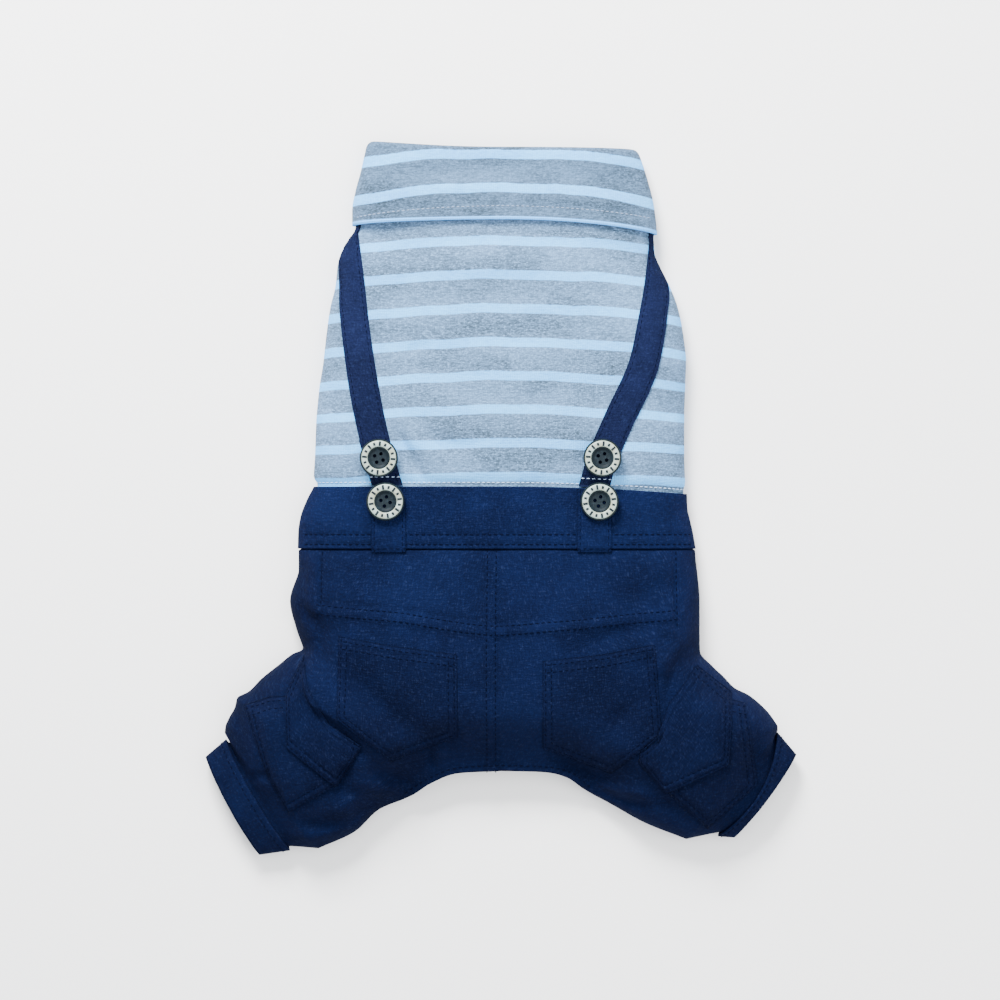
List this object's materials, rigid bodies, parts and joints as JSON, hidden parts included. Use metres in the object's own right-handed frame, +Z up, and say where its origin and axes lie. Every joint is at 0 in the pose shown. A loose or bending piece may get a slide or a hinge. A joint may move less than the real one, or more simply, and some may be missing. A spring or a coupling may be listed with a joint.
{
  "type": "dog suspender suit",
  "caption": "Small dog suit laid flat: striped jersey top with turned-down collar, navy suspenders with ringed buttons, waistband, and navy trousers with patch and cargo pockets.",
  "frame": {"origin": "centre of the suit's box in plan, on the surface that its belly lies on", "axes": "+Y towards the neck, +X to the right as seen from above with the neck at the top, +Z up out of the back"},
  "size_m": [0.2774, 0.335, 0.0349],
  "materials": {
    "jersey": "heather grey jersey knit with narrow pale stripes",
    "twill": "navy cotton twill",
    "trim": "navy twill tape",
    "button": "dark green-black moulded button",
    "ring": "pale aged metal ring with plain tick marks"
  },
  "bodies": {
    "root": {"back_pocket_left": "twill", "back_pocket_right": "twill", "button_strap_left": "button", "button_strap_left_ring": "ring", "button_strap_right": "button", "button_strap_right_ring": "ring", "button_waist_left": "button", "button_waist_left_ring": "ring", "button_waist_right": "button", "button_waist_right_ring": "ring", "cargo_flap_left": "twill", "cargo_flap_right": "twill", "cargo_pocket_left": "twill", "cargo_pocket_right": "twill", "collar": "jersey", "cuff_left": "twill", "cuff_right": "twill", "shirt_body": "jersey", "strap_left": "trim", "strap_right": "trim", "tab_left": "trim", "tab_right": "trim", "trousers": "twill", "waistband": "twill"}
  },
  "joints": []
}
